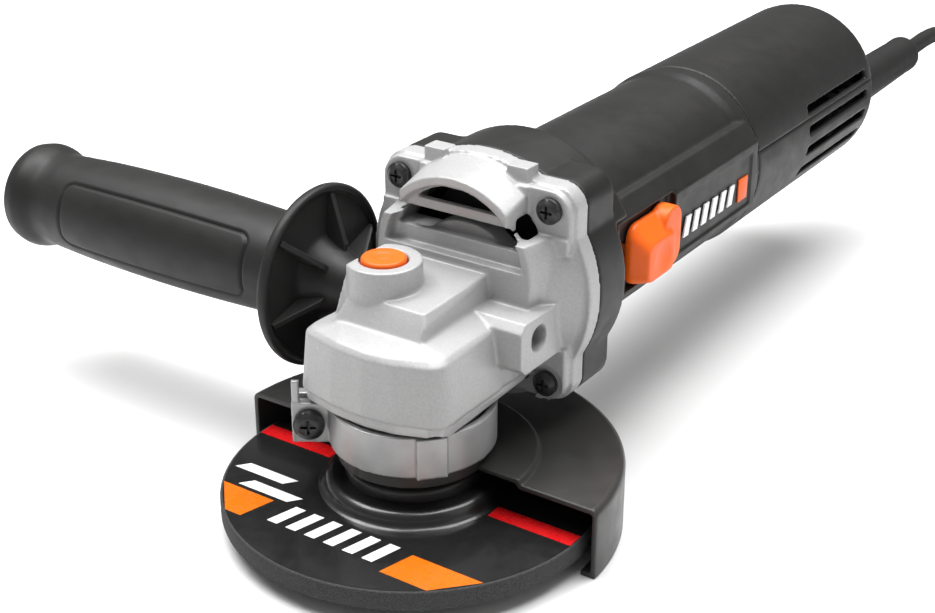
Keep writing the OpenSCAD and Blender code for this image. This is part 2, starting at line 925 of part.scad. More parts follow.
module stator_core() {
  pocket_w = (stator_flat - stator_in) / 2 + 0.5;
  color("slategray") {
    along_y(core_y) {
      linear_extrude(core_l) {
        difference() {
          intersection() {
            circle(stator_r);
            square([2 * stator_flat, 4 * stator_r], center = true);
          }
          circle(stator_in);
          for (side = [-1, 1]) {
            translate([side * (stator_in - 0.5 + pocket_w / 2), 0]) {
              rounded_rect(pocket_w, stator_in * 1.5, pocket_w * 0.35);
            }
          }
        }
      }
    }
  }
}

module stator_coils() {
  color("sienna") {
    for (y = [core_y - coil_l, core_y + core_l + seat], side = [-1, 1]) {
      along_y(y) {
        intersection() {
          ring(stator_r - 1.5, stator_in + 0.4, coil_l - 0.5);
          translate([side > 0 ? 4 : -stator_flat + 0.4, -18, 0]) {
            cube([stator_flat - 4.4, 36, coil_l]);
          }
        }
      }
    }
  }
}

module air_baffle() {
  color([0.1, 0.1, 0.1]) {
    along_y(fan_y + fan_l + 0.8) ring(barrel_in - fit, core_d / 2 - 4, 1.6);
  }
}

module brush_holders() {
  out = commutator_d / 2 + 1.2;
  color("khaki") {
    for (side = [-1, 1]) {
      translate([0, brush_y, motor_z + side * out]) {
        difference() {
          translate([-5, -5.5, side > 0 ? 0 : -holder_l]) cube([10, 11, holder_l]);
          translate([-3.3, -4.05, side > 0 ? -1 : -holder_l - 1]) cube([6.6, 8.1, holder_l + 2]);
        }
      }
    }
  }
}

module carbon_brushes() {
  face = commutator_d / 2 + 0.35;
  color([0.2, 0.2, 0.2]) {
    for (side = [-1, 1]) {
      translate([-3.2, brush_y - 3.95, motor_z + (side > 0 ? face : -face - brush_l)]) {
        cube([6.4, 7.9, brush_l]);
      }
    }
  }
}

module brush_springs() {
  face = commutator_d / 2 + 0.35;
  color("silver") {
    for (side = [-1, 1], i = [0:2]) {
      translate([0, brush_y, motor_z + side * (face + brush_l + 0.6 + i * 2)]) {
        rotate_extrude() translate([2.4, 0]) circle(0.35);
      }
    }
  }
}

// ---------- Motor housing ----------

// The flat pad on the +X side that carries the switch and the badge panel
module switch_pad() {
  along_y(pad_y) {
    linear_extrude(barrel_end - pad_y - 4) {
      polygon([
        [barrel_in, motor_z - pad_z + 14], [pad_x - 2, motor_z - pad_z + 14],
        [pad_x, motor_z - pad_z + 11], [pad_x, motor_z - pad_z - 12],
        [barrel_r - 4, motor_z - pad_z - 18], [barrel_in - 6, motor_z - pad_z - 18]
      ]);
    }
  }
}

module motor_housing() {
  seat_r = rear_bearing_r + damper_t;
  spider_y = rear_bearing_y;
  color([0.22, 0.22, 0.22]) {
    difference() {
      union() {
        along_y(joint_y) linear_extrude(15) joint_outline();
        along_y(joint_y + 15 - eps) cylinder(r1 = flange_r - 1, r2 = barrel_r, h = 9);
        intersection() {
          along_y(joint_y + 1) {
            cylinder(r = flange_r, h = 21);
            translate([0, 0, 21 - eps]) cylinder(r1 = flange_r, r2 = barrel_r - 1, h = 8);
          }
          translate([-50, 0, motor_z + 17]) cube([100, 100, 50]);
        }
        along_y(joint_y + 12) cylinder(r = barrel_r, h = barrel_end - joint_y - 22);
        along_y(barrel_end - 10 - eps) cylinder(r1 = barrel_r, r2 = cover_r, h = 4);
        along_y(barrel_end - 6 - eps) cylinder(r = cover_r, h = 6 + eps);
        along_y(barrel_end - 2) cylinder(r = cover_in - fit, h = 7);
        switch_pad();
      }
      along_y(joint_y - 1) cylinder(r = barrel_in, h = spider_y - joint_y + 1);
      along_y(spider_y + 3) {
        difference() {
          cylinder(r = barrel_in, h = 100);
          translate([0, 0, -1]) cylinder(r = seat_r + 2.2, h = rear_bearing_l);
        }
      }
      along_y(spider_y - 1) cylinder(r = seat_r, h = rear_bearing_l + 1);
      along_y(spider_y) cylinder(r = seat_r - 2, h = 20);
      // openings of the rear spider, and the switch rod's way through it
      for (turn = [45:90:315]) {
        along_y(spider_y - 1) rotate([0, 0, turn]) translate([19, 0, 0]) cylinder(r = 6, h = 20);
      }
      translate([rod_x - 0.5, spider_y - 1, knob_z - rod_w / 2 - 1]) {
        cube([barrel_in - rod_x + 0.2, 20, rod_w + 2]);
      }
      // switch pocket, stem slot and badge panel
      translate([pocket_x, pad_y + 3, pad_z - knob_w / 2]) {
        cube([20, knob_l + 9, knob_w + 2]);
      }
      translate([rod_x, pad_y + 4, knob_z - rod_w / 2 - 0.5]) {
        cube([20, stem_l + switch_travel + 4, rod_w + 1]);
      }
      translate([pad_x - 0.7, panel_y, pad_z - 10]) cube([5, barrel_end - 8 - panel_y, 19]);
      // joint screws
      for (x = [-1, 1], z = [-1, 1]) {
        along_y(joint_y - 1, x * ear_x, motor_z + z * ear_z) cylinder(r = 2 + fit, h = 10);
      }
    }
  }
}

module housing_screws() {
  color([0.12, 0.12, 0.12]) {
    for (x = [-1, 1], z = [-1, 1]) {
      translate([x * ear_x, plate_y - 2.5, motor_z + z * ear_z]) rotate([90, 0, 0]) {
        pan_screw(3.9, 2.8, 2, 16);
      }
    }
  }
}

module side_badge() {
  color("darkorange") {
    translate([pad_x - 0.7, barrel_end - 17.5, pad_z - 6.7]) cube([0.6, 7, 8.2]);
  }
}

module cover_shell() {
  round_r = 9;
  along_y(cover_y) {
    rotate_extrude() {
      polygon(concat(
        [[cover_in, 0], [cover_r, 0], [cover_r, cover_l - round_r]],
        [for (a = [10:10:80]) [
          cover_r - round_r + round_r * cos(a), cover_l - round_r + round_r * sin(a)
        ]],
        [
          [cover_r - round_r, cover_l], [0, cover_l], [0, cover_l - 3],
          [cover_in - 7, cover_l - 3], [cover_in, cover_l - 10]
        ]
      ));
    }
  }
}

post_at = [[-19, 34], [-19, 84], [19, 48]];
slot_rise = [10, 2.5, -5.5, -14];

module cover_cuts() {
  for (i = [0:slot_count - 1], side = [-1, 1]) {
    translate([side * 33.2 - 10, slot_y, motor_z + slot_rise[i] - slot_h / 2]) {
      cube([20, slot_l, slot_h]);
    }
  }
  along_y(cover_end - 12, cord_x, cord_z) cylinder(r = sleeve_r + fit, h = 30);
}

module rear_cover_lower() {
  color([0.2, 0.2, 0.2]) {
    difference() {
      union() {
        intersection() {
          cover_shell();
          translate([-50, 0, 0]) cube([100, 400, parting_z]);
        }
        intersection() {
          along_y(cover_y + 1) cylinder(r = cover_in + 1, h = cover_l - 12);
          union() {
            for (at = post_at) {
              translate([at[0], cover_y + at[1], 20]) cylinder(r = 4, h = parting_z - 20);
            }
            translate([cord_x - 10, clamp_y, 20]) cube([17, 8, cord_z - 20.5]);
          }
        }
      }
      cover_cuts();
      along_y(clamp_y - 1, cord_x, cord_z) cylinder(r = cord_r + fit, h = 10);
      for (side = [-1, 1]) {
        translate([cord_x - 1.5 + side * 6.5, clamp_y + 4, cord_z - 8]) cylinder(r = 1.35, h = 20);
      }
      for (at = post_at) {
        translate([at[0], cover_y + at[1], 0]) {
          cylinder(r = 1.6, h = 100);
          cylinder(r = 2.8, h = motor_z - 20);
        }
      }
    }
  }
}

module rear_cover_upper() {
  color([0.2, 0.2, 0.2]) {
    difference() {
      union() {
        intersection() {
          cover_shell();
          translate([-50, 0, parting_z]) cube([100, 400, 60]);
        }
        intersection() {
          along_y(cover_y + 1) cylinder(r = cover_in + 1, h = cover_l - 12);
          for (at = post_at) {
            translate([at[0], cover_y + at[1], parting_z]) cylinder(r = 4, h = 40);
          }
        }
      }
      cover_cuts();
      for (at = post_at) {
        translate([at[0], cover_y + at[1], parting_z - 1]) cylinder(r = 1.6, h = 9);
      }
    }
  }
}

module rear_cover_screws() {
  color([0.12, 0.12, 0.12]) {
    for (at = post_at) {
      translate([at[0], cover_y + at[1], motor_z - 20]) rotate([180, 0, 0]) {
        pan_screw(2.7, 2, 1.5, parting_z + 6 - motor_z + 20);
      }
    }
  }
}

// ---------- Switch, capacitor and cord entry ----------

module switch_knob() {
  color("darkorange") {
    difference() {
      union() {
        hull() {
          translate([pocket_x + 0.3, knob_y + 1, knob_z - 1]) rotate([90, 0, 90]) {
            linear_extrude(2) translate([(knob_l - 4) / 2, 0]) rounded_rect(knob_l - 4, knob_w - 1, 4.5);
          }
          translate([knob_x - 0.5, knob_y + 4, knob_z - 3.5]) rotate([90, 0, 90]) {
            linear_extrude(0.5) {
              translate([(knob_l - 10) / 2, 0]) rounded_rect(knob_l - 10, knob_w - 8.5, 3);
            }
          }
        }
        translate([pocket_x + 0.3, knob_y + knob_l - 5.5, knob_z + 0.3]) rotate([90, 0, 90]) {
          linear_extrude(knob_x - pocket_x - 1.5) rounded_rect(11, knob_w - 1, 5);
        }
        translate([rod_x + 1, knob_y + 2, knob_z - rod_w / 2]) {
          cube([pocket_x + 1 - rod_x, stem_l - 4, rod_w]);
        }
      }
      translate([knob_x + 19.2, knob_y + knob_l / 2 - 0.5, knob_z - 3.5]) sphere(20);
      translate([rod_x, knob_y, knob_z - rod_w / 2 - 1]) cube([rod_t, stem_l, rod_w + 2]);
    }
  }
}

module switch_rod() {
  color([0.85, 0.85, 0.8]) {
    translate([rod_x, knob_y + 2, knob_z - rod_w / 2]) {
      cube([rod_t - seat, rod_end - knob_y - 2, rod_w]);
    }
    translate([rod_x - 6, rod_end - 8, knob_z - rod_w / 2]) cube([6.5, 6, rod_w]);
  }
}

module switch_module() {
  x = rod_x - 6.5 - 16;
  color([0.18, 0.18, 0.2]) {
    translate([x, barrel_end + 10, motor_z - 9]) cube([16, 30, 18]);
    for (y = [4, 12, 20]) {
      translate([x + 4, barrel_end + 10 + y, motor_z - 11.5]) cube([8, 3, 3]);
    }
  }
}

module capacitor() {
  color("khaki") {
    translate([-15, barrel_end + 48, motor_z - 14]) cube([18, 26, 12]);
  }
}

module cord_clamp() {
  color([0.15, 0.15, 0.15]) {
    difference() {
      translate([cord_x - 10, clamp_y, cord_z + 0.5]) cube([17, 8, cord_r + 1.5]);
      along_y(clamp_y - 1, cord_x, cord_z) cylinder(r = cord_r + fit, h = 10);
      for (side = [-1, 1]) {
        translate([cord_x - 1.5 + side * 6.5, clamp_y + 4, cord_z]) cylinder(r = 1.4, h = 20);
      }
    }
  }
}

module cord_clamp_screws() {
  color("gray") {
    for (side = [-1, 1]) {
      translate([cord_x - 1.5 + side * 6.5, clamp_y + 4, cord_z + cord_r + 2 + seat]) {
        pan_screw(2.4, 1.6, 1.3, 12);
      }
    }
  }
}

module strain_relief() {
  color([0.13, 0.13, 0.13]) {
    difference() {
      union() {
        along_y(cover_end - 13.5, cord_x, cord_z) cylinder(r = sleeve_r + 1.3, h = 3);
        along_y(cover_end - 11, cord_x, cord_z) cylinder(r = sleeve_r, h = 12);
        along_y(cover_end + 1 - eps, cord_x, cord_z) {
          cylinder(r1 = sleeve_r, r2 = sleeve_r - 1, h = sleeve_l - 1);
        }
      }
      along_y(cover_end - 30, cord_x, cord_z) cylinder(r = cord_r + fit, h = sleeve_l + 60);
    }
  }
}

// ---------- Side handle ----------

module handle_stud() {
  color("silver") {
    along_x(socket_x - socket_l + 1.5, -1) {
      cylinder(r = stud_r - fit, h = stud_end - socket_x + socket_l - 1.5);
    }
  }
}

module side_handle() {
  start = hand_flange_x + hand_flange_t;
  end = start + grip_l - hand_flange_t;
  color([0.14, 0.14, 0.14]) {
    difference() {
      union() {
        along_x(0, -1) {
          rotate_extrude() {
            polygon([
              [0, socket_x + 0.1], [7.5, socket_x + 0.1], [8, socket_x + 4],
              [11, hand_flange_x - 4], [12, hand_flange_x + 1],
              [hand_flange_d / 2 - 2.5, hand_flange_x + 1],
              [hand_flange_d / 2 - 1.5, hand_flange_x],
              [hand_flange_d / 2, hand_flange_x + 0.8],
              [hand_flange_d / 2, start - 0.5], [hand_flange_d / 2 - 0.8, start],
              [grip_r - 1, start], [grip_r - 1.8, start + 4],
              [grip_r - 0.8, start + grip_l * 0.25], [grip_r, start + grip_l * 0.5],
              [grip_r - 0.4, start + grip_l * 0.7], [grip_r - 1.2, end - 16],
              [grip_r - 1.4, end - 12], [grip_r + 0.6, end - 6], [grip_r + 0.3, end - 2],
              [grip_r - 1.5, end], [0, end]
            ]);
          }
          for (turn = [0:60:300]) {
            rotate([0, 0, turn]) {
              translate([0, -0.9, socket_x + 7]) {
                cube([hand_flange_d / 2 - 3, 1.8, hand_flange_x - socket_x - 5.5]);
              }
            }
          }
        }
      }
      // trims the ribs to a slope between the neck and the rim
      along_x(0, -1) {
        rotate_extrude() {
          polygon([
            [8, socket_x - 1], [8, socket_x + 4], [11, hand_flange_x - 4],
            [hand_flange_d / 2 - 3, hand_flange_x], [hand_flange_d, hand_flange_x - 1],
            [hand_flange_d, socket_x - 1]
          ]);
        }
      }
      along_x(0, -1) cylinder(r = stud_r - fit + seat, h = stud_end + seat);
    }
  }
}

// ---------- Cord ----------

function unit(v) = v / norm(v);

// Smooth curve through the route's points, with a few rings between each pair
function blend_point(p, i, t) = let (
  a = p[max(i - 1, 0)], b = p[i], c = p[i + 1], d = p[min(i + 2, len(p) - 1)]
) 0.5 * (2 * b + (c - a) * t + (2 * a - 5 * b + 4 * c - d) * t * t
  + (3 * b - a - 3 * c + d) * t * t * t);

function route(p, steps) = concat(
  [for (i = [0:len(p) - 2], k = [0:steps - 1]) blend_point(p, i, k / steps)],
  [p[len(p) - 1]]
);

// A tube with flat ends along a route that never runs straight up or down
module tube(p, r, sides = 10) {
  n = len(p);
  heading = [for (i = [0:n - 1]) unit(p[min(i + 1, n - 1)] - p[max(i - 1, 0)])];
  across = [for (h = heading) unit(cross(h, [0, 0, 1]))];
  rings = [
    for (i = [0:n - 1], k = [0:sides - 1])
      p[i] + r * cos(k * 360 / sides) * across[i]
        + r * sin(k * 360 / sides) * cross(across[i], heading[i])
  ];
  walls = [
    for (i = [0:n - 2], k = [0:sides - 1]) let (l = (k + 1) % sides)
      [i * sides + k, i * sides + l, (i + 1) * sides + l, (i + 1) * sides + k]
  ];
  ends = [
    [for (k = [sides - 1:-1:0]) k],
    [for (k = [0:sides - 1]) (n - 1) * sides + k]
  ];
  polyhedron(rings, concat(walls, ends), convexity = 4);
}

module cord_tube() {
  inside = [[0, -96, 65], [0, -60, 65], [0, -30, 65]];
  color([0.12, 0.12, 0.12]) {
    translate(route_start) tube(concat(inside, route(cord_path, 2)), cord_r);
  }
}

module cord_coil() {
  half = coil_layers * cord_r;
  color([0.12, 0.12, 0.12]) {
    translate(coil_at) ring(coil_mid_r + half, coil_mid_r - half, 2 * half);
  }
}

module cord_tail() {
  color([0.12, 0.12, 0.12]) translate(route_start) tube(route(tail_path, 2), cord_r);
}

module plug_body() {
  w = plug_size[0];
  l = plug_size[1];
  h = plug_size[2];
  color([0.12, 0.12, 0.12]) {
    translate([plug_at[0], plug_at[1], plug_at[2] + h / 2]) rotate([90, 0, 0]) {
      difference() {
        union() {
          translate([0, 0, 14]) linear_extrude(l - 14) rounded_rect(w, h, h / 2 - eps);
          hull() {
            translate([0, 0, 14]) linear_extrude(0.1) rounded_rect(w, h, h / 2 - eps, $fn = facets);
            cylinder(r = cord_r + 1.4, h = 4, $fn = facets);
          }
        }
        translate([0, 0, -1]) cylinder(r = cord_r + fit, h = 9);
        for (side = [-1, 1]) {
          translate([side * plug_pin_gap / 2, 0, l - 12]) cylinder(r = plug_pin_r + seat, h = 13);
        }
      }
    }
  }
}

module plug_pins() {
  color("silver") {
    for (side = [-1, 1]) {
      translate([
        plug_at[0] + side * plug_pin_gap / 2, plug_at[1] - plug_size[1],
        plug_at[2] + plug_size[2] / 2
      ]) rotate([90, 0, 0]) {
        translate([0, 0, -11]) cylinder(r = plug_pin_r, h = plug_pin_l + 10);
        translate([0, 0, plug_pin_l - 1 - eps]) cylinder(r1 = plug_pin_r, r2 = 1.6, h = 1 + eps);
      }
    }
  }
}

spindle();
crown_gear();
spindle_bearing_inner_race();
inner_flange();
grinding_disc();
lock_nut();
gear_housing();
bearing_cover();
bearing_cover_screws();
spindle_bearing_outer_race();
spindle_bearing_balls();
spindle_bush();
felt_seal();
lock_button();
lock_pin();
lock_spring();
guard();
guard_clamp_band();
guard_clamp_screw();
guard_clamp_nut();
housing_screws();
front_bearing_outer_race();
front_bearing_balls();
front_bearing_inner_race();
bearing_retainer();
pinion();
armature_shaft();
armature_core();
armature_windings();
commutator();
fan();
rear_bearing_outer_race();
rear_bearing_balls();
rear_bearing_inner_race();
rear_bearing_damper();
stator_core();
stator_coils();
air_baffle();
brush_holders();
carbon_brushes();
brush_springs();
motor_housing();
rear_cover_lower();
rear_cover_upper();
rear_cover_screws();
side_badge();
switch_knob();
switch_rod();
switch_module();
capacitor();
cord_clamp();
cord_clamp_screws();
strain_relief();
handle_stud();
side_handle();
cord_tube();
cord_coil();
cord_tail();
plug_body();
plug_pins();
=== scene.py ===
"""Looks of a corded angle grinder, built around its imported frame."""
import json
import math

import bmesh
import bpy
from mathutils import Matrix, Vector

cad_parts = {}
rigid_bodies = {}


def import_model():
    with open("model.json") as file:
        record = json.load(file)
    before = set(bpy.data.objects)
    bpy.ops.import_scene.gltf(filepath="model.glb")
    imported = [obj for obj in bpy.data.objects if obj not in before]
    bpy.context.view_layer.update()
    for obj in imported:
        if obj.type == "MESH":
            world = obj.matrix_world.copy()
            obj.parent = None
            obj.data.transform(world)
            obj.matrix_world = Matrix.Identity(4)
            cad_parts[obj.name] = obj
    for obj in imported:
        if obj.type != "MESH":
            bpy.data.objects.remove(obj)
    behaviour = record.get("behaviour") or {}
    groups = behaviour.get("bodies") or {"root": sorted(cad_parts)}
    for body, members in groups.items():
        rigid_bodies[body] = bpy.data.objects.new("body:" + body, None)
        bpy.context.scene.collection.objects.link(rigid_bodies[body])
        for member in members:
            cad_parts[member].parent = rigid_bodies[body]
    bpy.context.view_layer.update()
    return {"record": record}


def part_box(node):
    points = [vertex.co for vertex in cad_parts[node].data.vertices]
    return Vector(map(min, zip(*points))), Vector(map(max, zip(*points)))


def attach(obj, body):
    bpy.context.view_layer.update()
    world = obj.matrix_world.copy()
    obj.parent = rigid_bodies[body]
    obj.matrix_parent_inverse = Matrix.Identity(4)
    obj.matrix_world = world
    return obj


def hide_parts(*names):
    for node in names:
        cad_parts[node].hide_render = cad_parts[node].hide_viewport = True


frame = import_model()

MM = 0.001


def low(node):
    return Vector(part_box(node)[0])


def high(node):
    return Vector(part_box(node)[1])


def middle(node):
    return (low(node) + high(node)) / 2


# Places that the pieces are built from, in metres
motor_z = middle("armature_core").z
disc_r = (high("grinding_disc").x - low("grinding_disc").x) / 2
disc_low = low("grinding_disc").z
disc_top = disc_low + 6 * MM
handle_y = middle("handle_stud").y
handle_z = middle("handle_stud").z
cover_end = high("rear_cover_lower").y
sleeve_end = high("strain_relief").y
sleeve_x = middle("strain_relief").x
sleeve_z = middle("strain_relief").z


# ---------- Camera ----------

def make_camera():
    data = bpy.data.cameras.new("camera")
    data.sensor_width = 36
    data.lens = 61.6
    data.clip_end = 20
    camera = bpy.data.objects.new("camera", data)
    camera.location = (0.2437, -0.3301, 0.262)
    camera.rotation_euler = (math.radians(64.76), 0, math.radians(34.22))
    bpy.context.collection.objects.link(camera)
    bpy.context.scene.camera = camera


make_camera()


# ---------- Materials ----------

class Surface:
    """A procedural material: one shader with noise for its colour, roughness and bump."""

    def __init__(self, name, roughness, metallic=0.0, coat=0.0, specular=0.5):
        self.material = bpy.data.materials.new(name)
        self.material.use_nodes = True
        self.nodes = self.material.node_tree.nodes
        self.links = self.material.node_tree.links
        self.shader = self.nodes["Principled BSDF"]
        self.shader.inputs["Roughness"].default_value = roughness
        self.shader.inputs["Metallic"].default_value = metallic
        self.shader.inputs["Coat Weight"].default_value = coat
        self.shader.inputs["Coat Roughness"].default_value = 0.12
        self.shader.inputs["Specular IOR Level"].default_value = specular
        self.roughness = roughness
        self.place = self.nodes.new("ShaderNodeTexCoord").outputs["Object"]
        self.height = None

    def noise(self, scale, detail=4.0, stretch=(1, 1, 1)):
        mapping = self.nodes.new("ShaderNodeMapping")
        mapping.inputs["Scale"].default_value = stretch
        self.links.new(self.place, mapping.inputs["Vector"])
        noise = self.nodes.new("ShaderNodeTexNoise")
        noise.inputs["Scale"].default_value = scale
        noise.inputs["Detail"].default_value = detail
        self.links.new(mapping.outputs["Vector"], noise.inputs["Vector"])
        return noise.outputs["Fac"]

    def cells(self, scale):
        cells = self.nodes.new("ShaderNodeTexVoronoi")
        cells.inputs["Scale"].default_value = scale
        self.links.new(self.place, cells.inputs["Vector"])
        return cells.outputs["Distance"]

    def remap(self, value, start, end, to_low, to_high):
        remap = self.nodes.new("ShaderNodeMapRange")
        limits = {"From Min": start, "From Max": end, "To Min": to_low, "To Max": to_high}
        for name, number in limits.items():
            remap.inputs[name].default_value = number
        self.links.new(value, remap.inputs["Value"])
        return remap.outputs["Result"]

    def colours(self, value, stops):
        ramp = self.nodes.new("ShaderNodeValToRGB")
        for i, (position, colour) in enumerate(stops):
            if i < 2:
                element = ramp.color_ramp.elements[i]
                element.position = position
            else:
                element = ramp.color_ramp.elements.new(position)
            element.color = (*colour, 1)
        self.links.new(value, ramp.inputs["Fac"])
        return ramp.outputs["Color"]

    def base(self, value, stops):
        self.colour = self.colours(value, stops)
        self.links.new(self.colour, self.shader.inputs["Base Color"])
        return self

    def painted_edge_highlight(self, colour, start=0.52, end=0.6, amount=0.6):
        """Painted highlight: lighter colour where the surface turns sharply outwards."""
        edge = self.nodes.new("ShaderNodeNewGeometry").outputs["Pointiness"]
        mix = self.nodes.new("ShaderNodeMix")
        mix.data_type = "RGBA"
        self.links.new(self.remap(edge, start, end, 0, amount), mix.inputs["Factor"])
        self.links.new(self.colour, mix.inputs["A"])
        mix.inputs["B"].default_value = (*colour, 1)
        self.colour = mix.outputs["Result"]
        self.links.new(self.colour, self.shader.inputs["Base Color"])
        return self

    def uneven_gloss(self, value, spread):
        result = self.remap(value, 0.3, 0.7, self.roughness - spread, self.roughness + spread)
        self.links.new(result, self.shader.inputs["Roughness"])
        return self

    def bump(self, value, depth, strength=1.0):
        bump = self.nodes.new("ShaderNodeBump")
        bump.inputs["Strength"].default_value = strength
        bump.inputs["Distance"].default_value = depth
        self.links.new(value, bump.inputs["Height"])
        if self.height is not None:
            self.links.new(self.height, bump.inputs["Normal"])
        self.height = bump.outputs["Normal"]
        self.links.new(self.height, self.shader.inputs["Normal"])
        return self


def grey(value, tint=0.0):
    return (value + tint, value, value - tint)


def scaled(colour, factor):
    return tuple(c * factor for c in colour)


def plastic(name, colour, roughness, grain=2600, depth=0.00005, coat=0.0, edge_highlight_colour=None):
    s = Surface(name, roughness, coat=coat, specular=0.28)
    s.base(s.noise(35, 6), [(0.3, scaled(colour, 0.86)), (0.7, scaled(colour, 1.12))])
    # Painted highlight in the given colour along sharp outward edges.
    if edge_highlight_colour:
        s.painted_edge_highlight(edge_highlight_colour)
    s.uneven_gloss(s.noise(140, 5), 0.06)
    s.bump(s.noise(grain, 3), depth, 0.5)
    return s.material


def metal(name, colour, roughness, grain=900, depth=0.00004, stretch=(1, 1, 1), metallic=1.0):
    s = Surface(name, roughness, metallic=metallic)
    s.base(s.noise(80, 6), [(0.3, scaled(colour, 0.82)), (0.7, scaled(colour, 1.1))])
    s.uneven_gloss(s.noise(260, 4), 0.07)
    s.bump(s.noise(grain, 4, stretch), depth, 0.6)
    return s.material


def cast_aluminium():
    s = Surface("cast_aluminium", 0.38, metallic=0.1, specular=0.45)
    s.base(s.noise(1500, 5), [(0.28, grey(0.31)), (0.5, grey(0.34)), (0.8, grey(0.37))])
    # Painted highlight: lighter grey along sharp outward edges.
    s.painted_edge_highlight(grey(0.55), 0.53, 0.62, 0.35)
    s.uneven_gloss(s.noise(420, 4), 0.06)
    s.bump(s.noise(1900, 3), 0.00004, 0.4)
    s.bump(s.noise(90, 3), 0.00012, 0.3)
    return s.material


def abrasive():
    s = Surface("abrasive", 0.85, specular=0.25)
    s.base(s.cells(2200), [(0.05, grey(0.06)), (0.45, grey(0.04)), (0.8, grey(0.028))])
    s.bump(s.cells(2000), 0.00012, 0.6)
    s.bump(s.noise(700, 4), 0.0001, 0.5)
    return s.material


def printed(name, colour, roughness=0.28):
    s = Surface(name, roughness, coat=0.35)
    s.base(s.noise(700, 5), [(0.3, scaled(colour, 0.88)), (0.7, scaled(colour, 1.06))])
    s.uneven_gloss(s.noise(240, 4), 0.07)
    s.bump(s.noise(1100, 3), 0.00005, 0.5)
    return s.material


MATERIALS = {
    "cast_aluminium": cast_aluminium(),
    "bare_steel": metal("bare_steel", grey(0.6), 0.28, 700, 0.00002, (1, 1, 14)),
    "black_steel": metal("black_steel", grey(0.035), 0.38, 1500, 0.00004, metallic=0.5),
    "zinc_steel": metal("zinc_steel", grey(0.33), 0.4, 1300, 0.00005, metallic=0.5),
    "guard_paint": plastic("guard_paint", grey(0.026, 0.0008), 0.38, 1400, 0.00006, 0.1),
    "abrasive": abrasive(),
    "bronze": metal("bronze", (0.5, 0.33, 0.14), 0.5),
    "felt": plastic("felt", (0.7, 0.67, 0.58), 0.95, 3000, 0.0003),
    "laminated_steel": metal("laminated_steel", grey(0.3), 0.42, 1600, 0.00012, (0.05, 1, 0.05)),
    "copper": metal("copper", (0.62, 0.25, 0.1), 0.36, 1200, 0.0002, (1, 1, 0.1)),
    "inner_plastic": plastic("inner_plastic", grey(0.03), 0.5),
    "brass": metal("brass", (0.7, 0.5, 0.2), 0.34),
    "carbon": plastic("carbon", grey(0.03), 0.7, 3200, 0.0001),
    # housing_plastic and grip_plastic get a painted highlight along their sharp outward edges.
    "housing_plastic": plastic(
        "housing_plastic", grey(0.011, 0.0005), 0.46, 2300, 0.00005, edge_highlight_colour=grey(0.05)
    ),
    "orange_plastic": plastic("orange_plastic", (0.8, 0.115, 0.006), 0.42, 1800, 0.00003),
    "grip_plastic": plastic("grip_plastic", grey(0.012, 0.0004), 0.5, 2500, 0.00006, edge_highlight_colour=grey(0.03)),
    "black_rubber": plastic("black_rubber", grey(0.01, 0.0003), 0.6, 2000, 0.00006),
    "plated_pins": metal("plated_pins", (0.7, 0.66, 0.58), 0.2),
}


def paint_frame():
    """Gives every node of the frame the material that its slot names."""
    for part in frame["record"]["subparts"]:
        obj = bpy.data.objects[part["node"]]
        obj.data.materials.clear()
        obj.data.materials.append(MATERIALS[part["material_slot"]])


paint_frame()


# ---------- Building pieces ----------

def piece(name, mesh, body, slot, replaced=(), material=None):
    """Links a mesh as a piece that rides on a body and takes a slot's finish."""
    obj = bpy.data.objects.new(name, mesh)
    bpy.context.collection.objects.link(obj)
    mesh.materials.clear()
    mesh.materials.append(material or MATERIALS[slot])
    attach(obj, body)
    if replaced:
        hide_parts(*replaced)
    return obj


def settle(obj):
    """Applies an object's modifiers, and smooths its shading."""
    bpy.context.view_layer.update()
    graph = bpy.context.evaluated_depsgraph_get()
    mesh = bpy.data.meshes.new_from_object(obj.evaluated_get(graph))
    mesh.name = obj.name
    obj.modifiers.clear()
    obj.data = mesh
    mesh.polygons.foreach_set("use_smooth", [True] * len(mesh.polygons))
    return obj


def scratch(name, mesh):
    obj = bpy.data.objects.new(name, mesh)
    bpy.context.collection.objects.link(obj)
    return obj


def cad_mesh(node):
    """A copy of a node's mesh with its split vertices joined again."""
    mesh = bpy.data.objects[node].data.copy()
    bm = bmesh.new()
    bm.from_mesh(mesh)
    bmesh.ops.remove_doubles(bm, verts=bm.verts, dist=0.000002)
    bm.to_mesh(mesh)
    bm.free()
    return mesh


def moulded(name, node, body, slot, voxel, passes):
    """A CAD node with its edges softened as in a casting or a moulding."""
    obj = scratch(name, cad_mesh(node))
    remesh = obj.modifiers.new("remesh", "REMESH")
    remesh.mode = "VOXEL"
    remesh.voxel_size = voxel * MM
    smooth = obj.modifiers.new("smooth", "SMOOTH")
    smooth.factor = 0.5
    smooth.iterations = passes
    settle(obj)
    mesh = obj.data
    bpy.data.objects.remove(obj)
    return piece(name, mesh, body, slot, (node,))


def bevelled(name, node, body, slot, width):
    """A CAD node with its sharp edges rounded off."""
    obj = scratch(name, cad_mesh(node))
    bevel = obj.modifiers.new("bevel", "BEVEL")
    bevel.width = width * MM
    bevel.segments = 2
    bevel.angle_limit = math.radians(38)
    bevel.use_clamp_overlap = True
    settle(obj)
    mesh = obj.data
    bpy.data.objects.remove(obj)
    mesh.set_sharp_from_angle(angle=math.radians(32))
    return piece(name, mesh, body, slot, (node,))


ALONG_Y = Matrix.Rotation(math.radians(-90), 4, "X")
ALONG_MINUS_X = Matrix.Rotation(math.radians(-90), 4, "Y")


def at(x, y, z, turn=None):
    place = Matrix.Translation((x, y, z))
    return place @ turn if turn else place


def arc(cx, cy, r, start, end, steps=6):
    """Points of an arc in an outline, with its angles in degrees."""
    span = [start + (end - start) * i / steps for i in range(steps + 1)]
    return [(cx + r * math.cos(math.radians(a)), cy + r * math.sin(math.radians(a))) for a in span]


